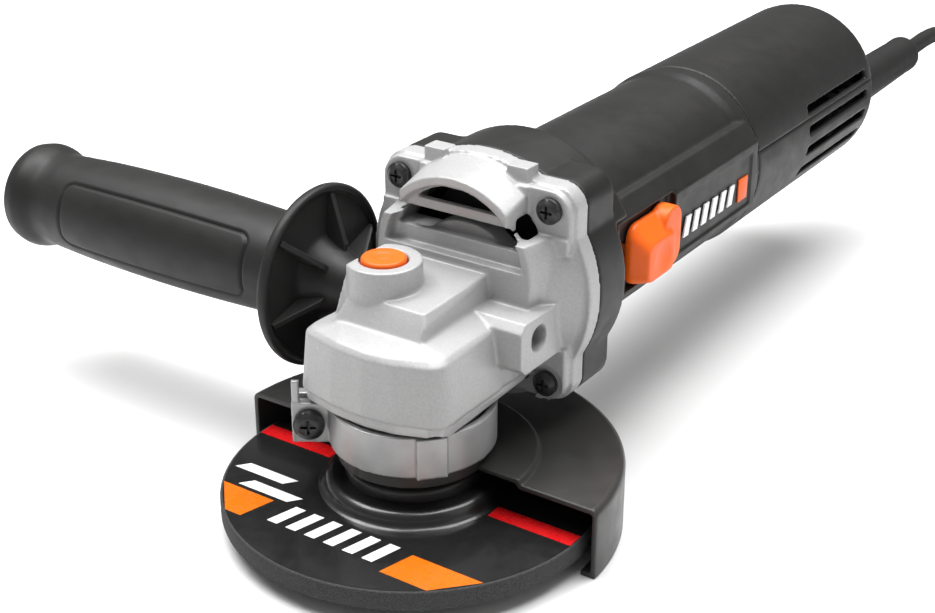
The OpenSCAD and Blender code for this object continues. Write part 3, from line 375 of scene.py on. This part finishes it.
def lathe_mesh(name, outline, steps=128, sweep=360.0, place=None, bevel=0.0):
    """Turns a closed outline of (radius, height) points, in mm, about Z."""
    bm = bmesh.new()
    full = sweep >= 360
    count = steps if full else steps + 1
    rings = []
    for i in range(count):
        a = math.radians(sweep * i / steps)
        rings.append([
            bm.verts.new((r * MM * math.cos(a), r * MM * math.sin(a), z * MM)) for r, z in outline
        ])
    n = len(outline)
    for i in range(count if full else count - 1):
        one, two = rings[i], rings[(i + 1) % count]
        for k in range(n):
            m = (k + 1) % n
            bm.faces.new((one[k], two[k], two[m], one[m]))
    if not full:
        bm.faces.new(rings[0])
        bm.faces.new(list(reversed(rings[-1])))
    bmesh.ops.remove_doubles(bm, verts=bm.verts, dist=1e-7)
    bmesh.ops.recalc_face_normals(bm, faces=bm.faces)
    if place is not None:
        bm.transform(place)
    mesh = bpy.data.meshes.new(name)
    bm.to_mesh(mesh)
    bm.free()
    if bevel:
        obj = scratch(name, mesh)
        modifier = obj.modifiers.new("bevel", "BEVEL")
        modifier.width = bevel * MM
        modifier.segments = 3
        modifier.angle_limit = math.radians(35)
        mesh = settle(obj).data
        bpy.data.objects.remove(obj)
    mesh.polygons.foreach_set("use_smooth", [True] * len(mesh.polygons))
    mesh.set_sharp_from_angle(angle=math.radians(40))
    return mesh


def prism_mesh(name, outline, height, place, bevel=0.0):
    """Raises a flat outline of (x, y) points, in mm, along Z."""
    bm = bmesh.new()
    bottom = bm.faces.new([bm.verts.new((x * MM, y * MM, 0)) for x, y in outline])
    top = bmesh.ops.extrude_face_region(bm, geom=[bottom])["geom"]
    for v in top:
        if isinstance(v, bmesh.types.BMVert):
            v.co.z += height * MM
    bmesh.ops.recalc_face_normals(bm, faces=bm.faces)
    if bevel:
        bmesh.ops.bevel(
            bm, geom=list(bm.edges), offset=bevel * MM, segments=2, profile=0.5, affect="EDGES"
        )
    bm.transform(place)
    mesh = bpy.data.meshes.new(name)
    bm.to_mesh(mesh)
    bm.free()
    return mesh


# ---------- Cord ----------

ROUTE_START = Vector((20, 336, 0))
CORD_PATH = [
    (0, 0, 65), (0, 15, 65), (0, 30, 65), (0, 44, 63), (1, 56, 57), (1, 66, 47),
    (2, 72, 34), (2, 78, 22), (1.5, 90, 10.5), (3, 101, 5.5),
]
TAIL_PATH = [
    (11, 124, 19.5), (16, 134, 22.5), (24, 143, 24.7), (35, 148, 24.7), (47, 149, 24.7),
    (59, 146, 24.8), (69, 139, 25.3), (76, 129, 26.5), (78, 118, 27.6), (78, 112, 28),
    (78, 107, 28),
]
CORD_R = 3.5
COIL_AT = Vector((66, 450))
# Knots of the winding: turns from the start, radius and height
WINDING = [
    (0.0, 43, 3.5), (0.85, 43, 3.5), (1.0, 36, 3.5), (1.85, 36, 3.5), (2.0, 29, 3.5),
    (2.6, 29, 3.5), (2.8, 29, 10.5), (3.4, 29, 10.5), (3.55, 36, 10.5), (4.4, 36, 10.5),
    (4.55, 43, 10.5), (5.12, 43, 10.5), (5.32, 43, 17.5), (6.1, 43, 17.5), (6.25, 36, 17.5),
    (7.0, 36, 17.5),
]


def winding_point(turn):
    """Where the coil is after a number of turns."""
    for (t0, r0, z0), (t1, r1, z1) in zip(WINDING, WINDING[1:]):
        if turn <= t1:
            share = (turn - t0) / (t1 - t0)
            share = share * share * (3 - 2 * share)
            break
    a = math.pi - 2 * math.pi * turn
    r = r0 + (r1 - r0) * share
    return Vector((COIL_AT.x + r * math.cos(a), COIL_AT.y + r * math.sin(a), z0 + (z1 - z0) * share))


def cord_route():
    inside = [Vector((0, -24, 65)), Vector((0, -12, 65))]
    lead = [ROUTE_START + p for p in inside] + [ROUTE_START + Vector(p) for p in CORD_PATH]
    steps_a_turn = 36
    turns = WINDING[-1][0]
    count = int(turns * steps_a_turn)
    coil = [winding_point(turns * i / count) for i in range(count + 1)]
    return lead + coil + [ROUTE_START + Vector(p) for p in TAIL_PATH]


def make_curve(name, points, radius, body, slot, replaced):
    data = bpy.data.curves.new(name, "CURVE")
    data.dimensions = "3D"
    data.bevel_depth = radius * MM
    data.bevel_resolution = 5
    data.use_fill_caps = True
    spline = data.splines.new("BEZIER")
    spline.bezier_points.add(len(points) - 1)
    for knot, p in zip(spline.bezier_points, points):
        knot.co = p * MM
        knot.handle_left_type = "AUTO"
        knot.handle_right_type = "AUTO"
    spline.resolution_u = 3
    obj = bpy.data.objects.new(name, data)
    bpy.context.collection.objects.link(obj)
    data.materials.append(MATERIALS[slot])
    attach(obj, body)
    if replaced:
        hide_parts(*replaced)
    return obj


def make_cord():
    cord = make_curve(
        "mains_cord", cord_route(), CORD_R, "housing", "black_rubber",
        ("cord_tube", "cord_coil", "cord_tail"),
    )
    inner = [Vector((20, 240 + 24 * i, 65)) for i in range(4)]
    make_curve("cord_inside", inner, CORD_R, "housing", "black_rubber", ())
    plug = moulded("plug", "plug_body", "housing", "black_rubber", 0.5, 4)


make_cord()


# ---------- Gear head ----------

def make_gear_head():
    moulded("cast_gear_housing", "gear_housing", "housing", "cast_aluminium", 0.5, 5)
    bevelled("cast_bearing_cover", "bearing_cover", "housing", "cast_aluminium", 0.4)
    bevelled("joint_screws", "housing_screws", "housing", "black_steel", 0.25)


def make_lock_button():
    centre = middle("lock_button")
    r = (high("lock_button").x - low("lock_button").x) / 2 / MM - 0.25
    top = high("lock_button").z / MM
    bottom = low("lock_button").z / MM
    outline = [(0, bottom + 0.6), (r - 1.4, bottom + 0.6), (r, bottom + 2)]
    outline += arc(r - 1.0, top - 1.0, 1.0, 0, 90, 6)
    outline += [(2.6, top), (2.3, top - 0.25), (1.9, top - 0.25), (1.5, top - 0.05), (0.8, top - 0.02)]
    outline += [(0, top - 0.02)]
    mesh = lathe_mesh("lock_button_cap", outline, 96, place=at(centre.x, centre.y, 0))
    piece("lock_button_cap", mesh, "lock", "orange_plastic", ("lock_button",))


make_gear_head()
make_lock_button()


# ---------- Guard and disc ----------

def make_guard():
    r = (high("guard").x - low("guard").x) / 2 / MM
    top = 22.5
    wall = 1.6
    lip = 3.2
    step_r = 36
    inside = r - wall
    neck_r = 21.05
    outline = [
        (neck_r, 24), (step_r - 0.6, 24), *arc(step_r + 0.2, 23.2, 0.8, 90, 30, 3),
        (step_r + 1.6, 22.6), (step_r + 2.4, top), *arc(r - 2.4, top - 2.4, 2.4, 90, 0, 8),
        *arc(r - 0.8, 0.8, 0.8, 0, -90, 4), (inside - lip, 0), (inside - lip, wall),
        *arc(inside - 1, wall + 1, 1, -90, 0, 4), *arc(inside - 1, top - wall - 1, 1, 0, 90, 4),
        (step_r + 0.8, top - wall), (step_r - 0.7, top + 1.5 - wall), (neck_r, top + 1.5 - wall),
    ]
    mesh = lathe_mesh("guard_sheet", outline, 120, 180.0, bevel=0.35)
    piece("guard_sheet", mesh, "guard", "guard_paint", ("guard",))
    neck_top = high("guard").z / MM
    neck = [
        (neck_r, 22.6), (neck_r + 1.6, 22.6), *arc(neck_r + 1.2, neck_top - 0.4, 0.4, 0, 90, 3),
        (neck_r, neck_top),
    ]
    piece("guard_neck", lathe_mesh("guard_neck", neck, 128), "guard", "guard_paint")
    moulded("clamp_band", "guard_clamp_band", "guard", "zinc_steel", 0.3, 4)
    bevelled("clamp_screw", "guard_clamp_screw", "guard", "black_steel", 0.25)


def make_disc():
    r = disc_r / MM
    bottom = disc_low / MM
    top = disc_top / MM
    bore = 11.12
    outline = [
        (bore, 10), (21, 10), (25.5, bottom + 0.6), (27.5, bottom), (r - 0.6, bottom),
        *arc(r - 0.5, bottom + 0.5, 0.5, -90, 0, 3), *arc(r - 0.5, top - 0.5, 0.5, 0, 90, 3),
        (28.3, top), (27.4, top + 0.3), (26.6, top + 1.3), *arc(23.6, 13.0, 2.9, 12, 80, 6),
        (22.2, 15.9), (21.4, 15.9), (bore, 15.9),
    ]
    mesh = lathe_mesh("abrasive_wheel", outline, 192)
    piece("abrasive_wheel", mesh, "spindle", "abrasive", ("grinding_disc",))
    hub = [
        (28.6, top + 0.08), (27.6, top + 0.38), (26.8, top + 1.4), *arc(23.7, 13.1, 2.95, 12, 84, 8),
        (22.6, 16.0), (20.6, 16.0), (20.6, 15.6), (22.4, 15.6), (24.2, 15.0), (25.8, 13.6),
        (26.6, 12.0), (27.4, top - 0.2), (28.6, top - 0.2),
    ]
    hub_material = printed("hub_print", grey(0.009), 0.34)
    piece("disc_hub_print", lathe_mesh("disc_hub_print", hub, 160), "spindle", "abrasive", (), hub_material)


def chord_strip(y_low, y_high, x_from, x_to, r, slant=0.0):
    """Outline of a straight strip across the disc, kept inside radius r."""
    steps = 14
    edge = []
    for i in range(steps + 1):
        x = x_from + (x_to - x_from) * i / steps
        limit = math.sqrt(max(r * r - y_low * y_low, 0))
        edge.append((max(-limit, min(limit, x)), y_low))
    for i in range(steps + 1):
        x = x_to - (x_to - x_from) * i / steps + slant
        limit = math.sqrt(max(r * r - y_high * y_high, 0))
        edge.append((max(-limit, min(limit, x)), y_high))
    clean = []
    for p in edge:
        if not clean or (abs(p[0] - clean[-1][0]) + abs(p[1] - clean[-1][1])) > 0.01:
            clean.append(p)
    return clean


def make_label():
    top = disc_top / MM
    edge = disc_r / MM - 0.8
    face = [(28.4, top - 0.1), (edge, top - 0.1), (edge, top + 0.1), (28.4, top + 0.1)]
    black = printed("label_black", grey(0.012), 0.2)
    piece("label_face", lathe_mesh("label_face", face, 192), "spindle", "abrasive", (), black)
    orange = printed("label_orange", (0.6, 0.125, 0.002))
    red = printed("label_red", (0.6, 0.008, 0.01))
    white = printed("label_white", grey(0.85), 0.35)
    strips = [
        ("label_band_left", orange, (-44, -32.5, -60, -30), edge, 3),
        ("label_band_right", orange, (-44, -32.5, 20, 60), edge, 3),
        ("label_bar_left", red, (-4.2, 1.6, -60, -29), edge, 0),
        ("label_bar_right", red, (-4.2, 1.6, 29, 60), edge, 0),
        ("label_box_one", white, (-24, -20.2, -49.5, -31), edge, 3),
        ("label_box_two", white, (-31, -27.2, -42, -23.5), edge, 3),
    ]
    for i in range(6):
        x = -22 + 6.8 * i
        strips.append(("label_stripe_%d" % (i + 1), white, (-41.5, -31.5, x, x + 3.6), edge, 2.6))
    for name, material, (y0, y1, x0, x1), limit, slant in strips:
        outline = chord_strip(y0, y1, x0, x1, limit, slant)
        mesh = prism_mesh(name, outline, 0.1, at(0, 0, (top + 0.04) * MM))
        piece(name, mesh, "spindle", "abrasive", (), material)


def make_flange_ring():
    lower = low("inner_flange").z / MM
    top = high("inner_flange").z / MM
    outline = [
        (7.05, lower), (11.05, lower), (11.05, 16.02), *arc(19.9, 16.62, 0.6, -90, 0, 4),
        *arc(19.3, top - 1.2, 1.2, 0, 90, 5), (16, top), (15.6, top - 0.4), (12, top - 0.4),
        (11.6, top), (7.05, top),
    ]
    piece("clamping_flange", lathe_mesh("clamping_flange", outline, 128), "spindle", "bare_steel",
          ("inner_flange",), MATERIALS["black_steel"])


make_guard()
make_disc()
make_label()
make_flange_ring()


# ---------- Side handle ----------

def spline_value(points, u):
    """Smooth value through (position, value) points."""
    for i in range(len(points) - 1):
        if u <= points[i + 1][0]:
            break
    p0, p1 = points[max(i - 1, 0)], points[i]
    p2, p3 = points[i + 1], points[min(i + 2, len(points) - 1)]
    t = (u - p1[0]) / (p2[0] - p1[0])
    width = p2[0] - p1[0]
    m1 = (p2[1] - p0[1]) / max(p2[0] - p0[0], 1e-6) * width
    m2 = (p3[1] - p1[1]) / max(p3[0] - p1[0], 1e-6) * width
    return (
        (2 * t**3 - 3 * t**2 + 1) * p1[1] + (t**3 - 2 * t**2 + t) * m1
        + (-2 * t**3 + 3 * t**2) * p2[1] + (t**3 - t**2) * m2
    )


def frame_distance(u, s, u0, u1, half, corner):
    """Distance from the rounded rectangle's line, over the grip's unrolled surface."""
    dx = abs(u - (u0 + u1) / 2) - ((u1 - u0) / 2 - corner)
    dy = abs(s) - (half - corner)
    outside = math.hypot(max(dx, 0), max(dy, 0)) + min(max(dx, dy), 0)
    return abs(outside - corner)


def make_grip():
    start = 50.4
    end = -low("side_handle").x / MM
    end_round = 2.2
    shape = [
        (start, 16.2), (start + 5, 15.8), (start + 20, 16.6), (start + 45, 17.4), (start + 66, 17.5),
        (start + 88, 17.1), (end - 20, 16.3), (end - 12.5, 16.0), (end - 8, 17.6), (end - 5, 18.1),
        (end - end_round, 17.6),
    ]
    around = 288
    step = 0.5
    # Groove that frames each side's grip panel
    panel_angle = 11
    panel_r = 17
    panel_start = start + 17
    panel_end = end - 27
    panel_half = 11.5
    panel_corner = 4
    groove_depth = 0.7
    groove_half = 0.5
    length = end - end_round - start
    rows = int(length / step)
    bm = bmesh.new()
    rings = []
    for i in range(rows + 1):
        u = start + length * i / rows
        r = spline_value(shape, u)
        ring = []
        for k in range(around):
            a = 360 * k / around
            off = (a - (180 + panel_angle) + 180) % 360 - 180
            mirrored = (a + panel_angle + 180) % 360 - 180
            depth = 0
            for side in (off, mirrored):
                s = math.radians(side) * panel_r
                near = frame_distance(u, s, panel_start, panel_end, panel_half, panel_corner)
                depth = max(depth, groove_depth * math.exp(-((near / groove_half) ** 2)))
            q = math.radians(a)
            reach = (r - depth) * MM
            ring.append(bm.verts.new((
                -u * MM, handle_y + reach * math.cos(q), handle_z - reach * math.sin(q)
            )))
        rings.append(ring)
    last = rings[-1][0].co.x
    for share in (0.35, 0.65, 0.85, 0.95, 1.0):
        a = share * math.pi / 2
        ring = []
        for v in rings[rows]:
            radial = Vector((0, v.co.y - handle_y, v.co.z - handle_z))
            scale = 1 - end_round * MM * (1 - math.cos(a)) / radial.length
            x = last - end_round * MM * math.sin(a)
            ring.append(bm.verts.new((x, handle_y + radial.y * scale, handle_z + radial.z * scale)))
        rings.append(ring)
    for one, two in zip(rings, rings[1:]):
        for k in range(around):
            m = (k + 1) % around
            bm.faces.new((one[k], one[m], two[m], two[k]))
    bm.faces.new(rings[-1])
    bm.faces.new(list(reversed(rings[0])))
    bmesh.ops.recalc_face_normals(bm, faces=bm.faces)
    mesh = bpy.data.meshes.new("grip")
    bm.to_mesh(mesh)
    bm.free()
    mesh.polygons.foreach_set("use_smooth", [True] * len(mesh.polygons))
    mesh.set_sharp_from_angle(angle=math.radians(50))
    piece("grip", mesh, "handle", "grip_plastic", ("side_handle",))


def make_hand_flange():
    face = 31.1
    back = 50.6
    rim = 29
    outline = [
        (4, face), (7.2, face), (7.8, face + 1), (8.4, face + 6), (10.6, 43), (12.5, 46.6),
        (14, 47.6), (rim - 3.2, 48.2), (rim - 2.6, 47.6), *arc(rim - 1.2, 48.0, 1.2, 200, 360, 6),
        *arc(rim - 1.4, back - 1.6, 1.4, 0, 90, 4), (17, back), (4, back),
    ]
    place = at(0, handle_y, handle_z, ALONG_MINUS_X)
    piece("hand_flange", lathe_mesh("hand_flange", outline, 160, place=place), "handle", "grip_plastic")
    for turn in range(0, 360, 60):
        rib = [(9, 40), (11.4, 40), (26, 47.2), (26, 49), (9, 49)]
        spin = Matrix.Rotation(math.radians(turn + 12), 4, "Z")
        upright = Matrix.Rotation(math.radians(90), 4, "X")
        mesh = prism_mesh("flange_rib", rib, 1.8, place @ spin @ upright @ at(0, 0, -0.9 * MM), 0.25)
        piece("flange_rib_%d" % turn, mesh, "handle", "grip_plastic")


make_grip()
make_hand_flange()


# ---------- Motor housing, rear cover and switch ----------

def make_motor_housing():
    moulded("motor_shell", "motor_housing", "housing", "housing_plastic", 0.6, 4)
    moulded("cover_half_lower", "rear_cover_lower", "housing", "housing_plastic", 0.6, 3)
    moulded("cover_half_upper", "rear_cover_upper", "housing", "housing_plastic", 0.6, 3)


def make_switch():
    moulded("slide_knob", "switch_knob", "switch", "orange_plastic", 0.28, 40)
    bevelled("badge_patch", "side_badge", "housing", "orange_plastic", 0.2)


def make_panel_stripes():
    """Plain slanted stripes along the side panel."""
    face = high("side_badge").x
    y = low("side_badge").y / MM
    z = low("side_badge").z / MM
    white = printed("panel_white", grey(0.8), 0.35)
    turned = Matrix(((0, 0, 1, 0), (1, 0, 0, 0), (0, 1, 0, 0), (0, 0, 0, 1)))
    for i in range(6):
        start = y - 41 + 6.4 * i
        outline = [(start, z + 1.3), (start + 3.4, z + 1.3), (start + 5.2, z + 8), (start + 1.8, z + 8)]
        mesh = prism_mesh("panel_stripe", outline, 0.5, at(face - 0.25 * MM, 0, 0, turned))
        piece("panel_stripe_%d" % (i + 1), mesh, "housing", "housing_plastic", (), white)


def make_sleeve():
    start = cover_end / MM
    end = sleeve_end / MM
    r = 8.3
    outline = [
        (3.55, start - 13.5), (9.6, start - 13.5), (9.6, start - 10.5), (r, start - 10.5),
        (r, start + 1), (7.6, end - 5), (7.75, end - 4), *arc(6.7, end - 1.1, 1.05, 10, 90, 4),
        (3.55, end),
    ]
    mesh = lathe_mesh("cord_sleeve", [(a, b - start) for a, b in outline], 96,
                      place=at(sleeve_x, cover_end, sleeve_z, ALONG_Y))
    piece("cord_sleeve", mesh, "housing", "black_rubber", ("strain_relief",))


make_motor_housing()
make_switch()
make_panel_stripes()
make_sleeve()


# ---------- Room ----------

def make_room():
    bpy.ops.mesh.primitive_plane_add(size=12, location=(0.1, 0.2, 0))
    floor = bpy.context.object
    floor.name = "floor"
    s = Surface("floor_paper", 0.75, specular=0.2)
    s.base(s.noise(4, 3), [(0.3, grey(0.77)), (0.7, grey(0.79))])
    floor.data.materials.append(s.material)
    world = bpy.data.worlds.new("studio")
    bpy.context.scene.world = world
    world.use_nodes = True
    world.node_tree.nodes["Background"].inputs["Color"].default_value = (1, 1, 1, 1)
    world.node_tree.nodes["Background"].inputs["Strength"].default_value = 0.3
    bpy.context.scene.view_settings.view_transform = "Standard"


def area_light(name, place, target, size, power):
    data = bpy.data.lights.new(name, "AREA")
    data.shape = "RECTANGLE"
    data.size, data.size_y = size
    data.energy = power
    lamp = bpy.data.objects.new(name, data)
    lamp.location = place
    lamp.rotation_euler = (Vector(target) - Vector(place)).to_track_quat("-Z", "Y").to_euler()
    bpy.context.collection.objects.link(lamp)


make_room()
area_light("key", (-0.45, -0.1, 1.0), (0, 0.1, 0.05), (0.6, 0.6), 13)
area_light("top", (0.1, 0.3, 1.1), (0, 0.1, 0.05), (0.9, 0.9), 22)
area_light("side", (0.9, 0.1, 0.4), (0, 0.1, 0.05), (0.5, 0.6), 0.6)
